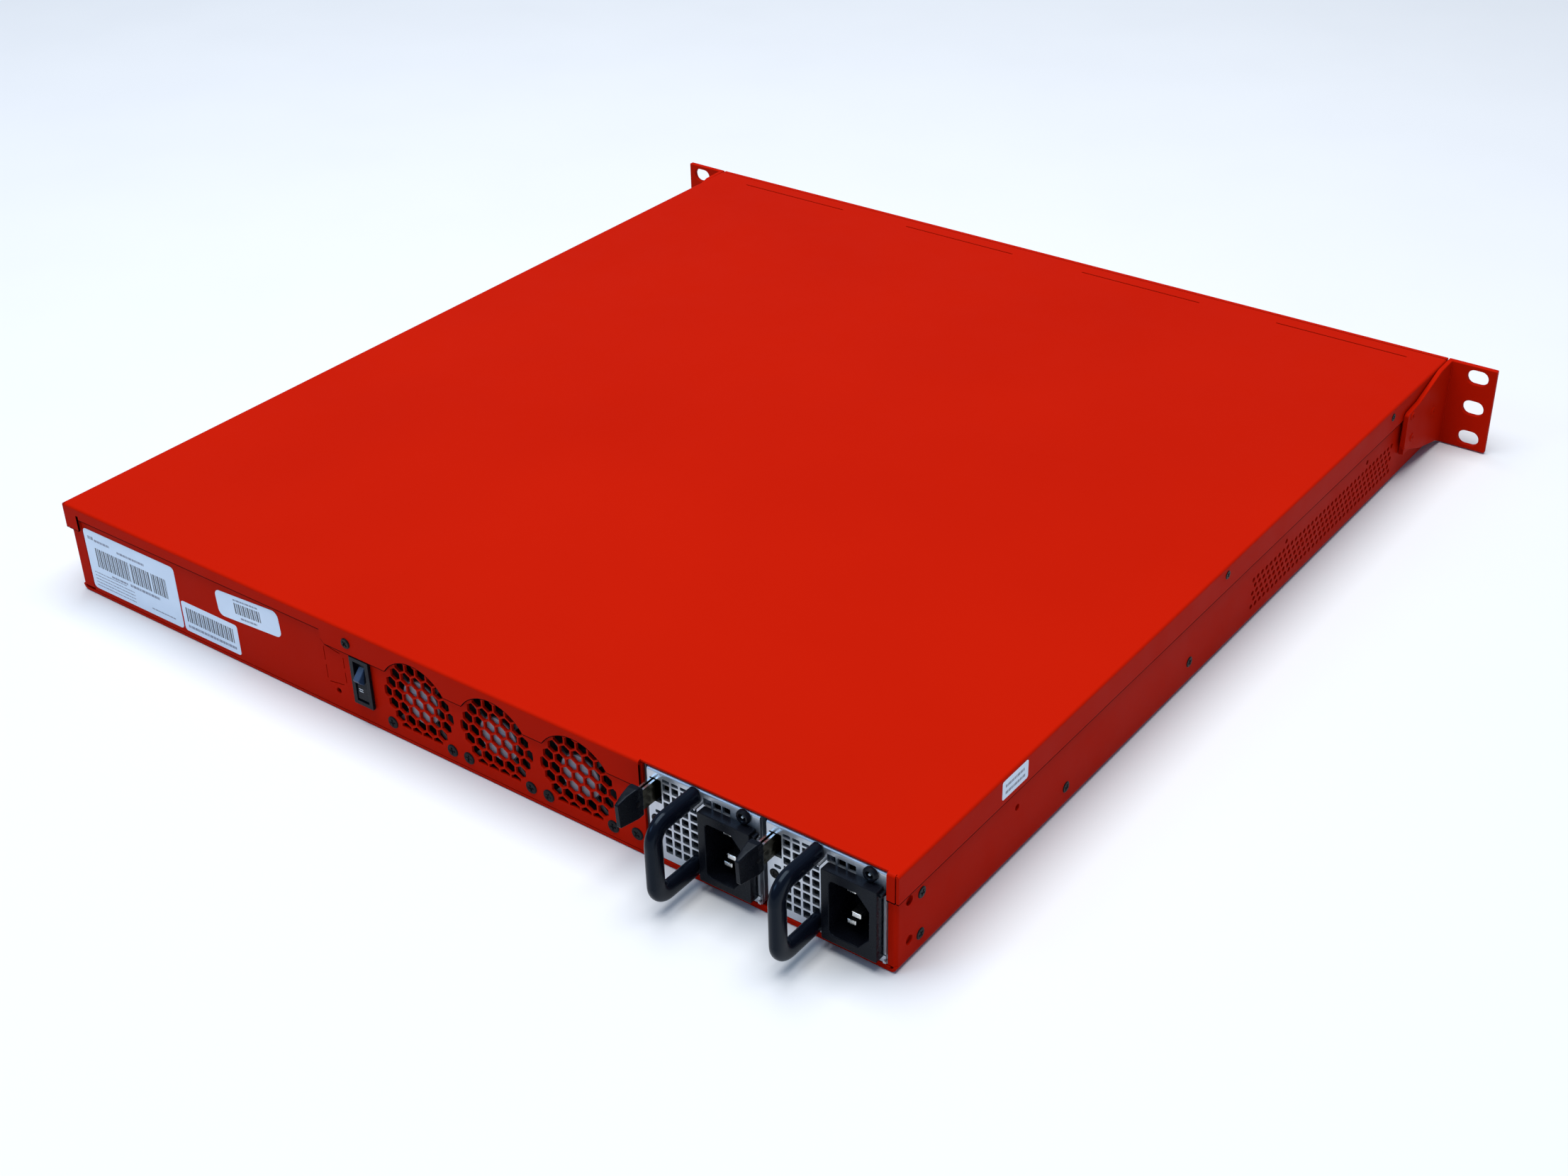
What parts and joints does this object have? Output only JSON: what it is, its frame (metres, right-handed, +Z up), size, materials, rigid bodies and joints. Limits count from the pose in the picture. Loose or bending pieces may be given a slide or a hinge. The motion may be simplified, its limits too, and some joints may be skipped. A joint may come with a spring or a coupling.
{
  "type": "firewall appliance",
  "caption": "Flat red rack-mount network firewall in a sheet-metal case with rear fans, rocker power switch and hot-swap power supplies with handles.",
  "frame": {"origin": "on the underside, at the centre of the whole object's width and length", "axes": "+Z up; the front panel faces -Y and the supply handles stand out towards +Y; +X is to the right of a person looking at the front"},
  "size_m": [0.4826, 0.4926, 0.0436],
  "materials": {
    "red_powder_coat": "semi-matte textured powder coat",
    "black_screw": "blackened steel, satin",
    "fan_black": "moulded glass-filled plastic",
    "switch_black": "satin moulded plastic",
    "galvanised_steel": "zinc-plated sheet, satin",
    "latch_steel": "bright spring steel",
    "handle_black": "satin moulded plastic",
    "inlet_black": "satin moulded plastic",
    "pin_brass": "nickel-plated",
    "circuit_board": "green solder mask",
    "aluminium": "extruded, satin",
    "display_glass": "clear acrylic cover",
    "key_grey": "satin moulded plastic",
    "socket_metal": "nickel-plated shell",
    "light_pipe": "frosted clear plastic"
  },
  "bodies": {
    "chassis": {"base_tray": "red_powder_coat", "rear_panel": "red_powder_coat", "top_cover": "red_powder_coat", "front_panel": "red_powder_coat", "rack_ear_left": "red_powder_coat", "rack_ear_right": "red_powder_coat", "cover_screw_rear": "black_screw", "fan_1_frame": "fan_black", "fan_2_frame": "fan_black", "fan_3_frame": "fan_black", "power_switch_body": "switch_black", "supply_cage": "galvanised_steel", "power_distribution_board": "circuit_board", "main_board": "circuit_board", "processor_heat_sink": "aluminium", "memory_module_1": "circuit_board", "memory_module_2": "circuit_board", "storage_drive": "aluminium", "display_board": "circuit_board", "display_window": "display_glass", "network_jack_block": "socket_metal", "console_jack": "socket_metal", "usb_sockets": "socket_metal", "sfp_cage": "socket_metal", "status_lights": "light_pipe"},
    "power_rocker": {"power_switch_rocker": "switch_black"},
    "fan_1": {"fan_1_rotor": "fan_black"},
    "fan_2": {"fan_2_rotor": "fan_black"},
    "fan_3": {"fan_3_rotor": "fan_black"},
    "psu1": {"psu1_case": "galvanised_steel", "psu1_end_plate": "galvanised_steel", "psu1_handle": "handle_black", "psu1_inlet": "inlet_black", "psu1_inlet_earth_pin": "pin_brass", "psu1_inlet_line_pin": "pin_brass", "psu1_inlet_neutral_pin": "pin_brass", "psu1_board": "circuit_board", "psu1_fan_frame": "fan_black", "psu1_status_lamp": "light_pipe"},
    "psu1_latch": {"psu1_latch_blade": "latch_steel", "psu1_latch_grip": "handle_black"},
    "psu1_fan": {"psu1_fan_rotor": "fan_black"},
    "psu2": {"psu2_case": "galvanised_steel", "psu2_end_plate": "galvanised_steel", "psu2_handle": "handle_black", "psu2_inlet": "inlet_black", "psu2_inlet_earth_pin": "pin_brass", "psu2_inlet_line_pin": "pin_brass", "psu2_inlet_neutral_pin": "pin_brass", "psu2_board": "circuit_board", "psu2_fan_frame": "fan_black", "psu2_status_lamp": "light_pipe"},
    "psu2_latch": {"psu2_latch_blade": "latch_steel", "psu2_latch_grip": "handle_black"},
    "psu2_fan": {"psu2_fan_rotor": "fan_black"},
    "up_key": {"key_up": "key_grey"},
    "down_key": {"key_down": "key_grey"},
    "left_key": {"key_left": "key_grey"},
    "right_key": {"key_right": "key_grey"}
  },
  "joints": [
    {"name": "power_switch", "type": "hinge", "parent": "chassis", "child": "power_rocker", "pos_m": [0.037, 0.2183, 0.0204], "axis": [1, 0, 0], "range_deg": [0, 20]},
    {"name": "fan_1_spin", "type": "hinge", "parent": "chassis", "child": "fan_1", "pos_m": [0.0068, 0.2053, 0.0213], "axis": [0, 1, 0], "continuous": true},
    {"name": "fan_2_spin", "type": "hinge", "parent": "chassis", "child": "fan_2", "pos_m": [-0.034, 0.2053, 0.0213], "axis": [0, 1, 0], "continuous": true},
    {"name": "fan_3_spin", "type": "hinge", "parent": "chassis", "child": "fan_3", "pos_m": [-0.0748, 0.2053, 0.0213], "axis": [0, 1, 0], "continuous": true},
    {"name": "psu1_slide", "type": "slide", "parent": "chassis", "child": "psu1", "axis": [0, 1, 0], "range_m": [0, 0.22]},
    {"name": "psu1_latch_press", "type": "hinge", "parent": "psu1", "child": "psu1_latch", "pos_m": [-0.1104, 0.1773, 0.0328], "axis": [0, 0, 1], "range_deg": [0, 3], "stiffness_Nm_per_rad": 0.5, "springref_deg": -1.72},
    {"name": "psu1_fan_spin", "type": "hinge", "parent": "psu1", "child": "psu1_fan", "pos_m": [-0.1285, 0.0383, 0.0223], "axis": [0, 1, 0], "continuous": true},
    {"name": "psu2_slide", "type": "slide", "parent": "chassis", "child": "psu2", "axis": [0, 1, 0], "range_m": [0, 0.22]},
    {"name": "psu2_latch_press", "type": "hinge", "parent": "psu2", "child": "psu2_latch", "pos_m": [-0.1634, 0.1773, 0.0328], "axis": [0, 0, 1], "range_deg": [0, 3], "stiffness_Nm_per_rad": 0.5, "springref_deg": -1.72},
    {"name": "psu2_fan_spin", "type": "hinge", "parent": "psu2", "child": "psu2_fan", "pos_m": [-0.1815, 0.0383, 0.0223], "axis": [0, 1, 0], "continuous": true},
    {"name": "key_up_press", "type": "slide", "parent": "chassis", "child": "up_key", "axis": [0, 1, 0], "range_m": [0, 0.0008], "stiffness_N_per_m": 400, "springref_m": -0.0004},
    {"name": "key_down_press", "type": "slide", "parent": "chassis", "child": "down_key", "axis": [0, 1, 0], "range_m": [0, 0.0008], "stiffness_N_per_m": 400, "springref_m": -0.0004},
    {"name": "key_left_press", "type": "slide", "parent": "chassis", "child": "left_key", "axis": [0, 1, 0], "range_m": [0, 0.0008], "stiffness_N_per_m": 400, "springref_m": -0.0004},
    {"name": "key_right_press", "type": "slide", "parent": "chassis", "child": "right_key", "axis": [0, 1, 0], "range_m": [0, 0.0008], "stiffness_N_per_m": 400, "springref_m": -0.0004}
  ]
}
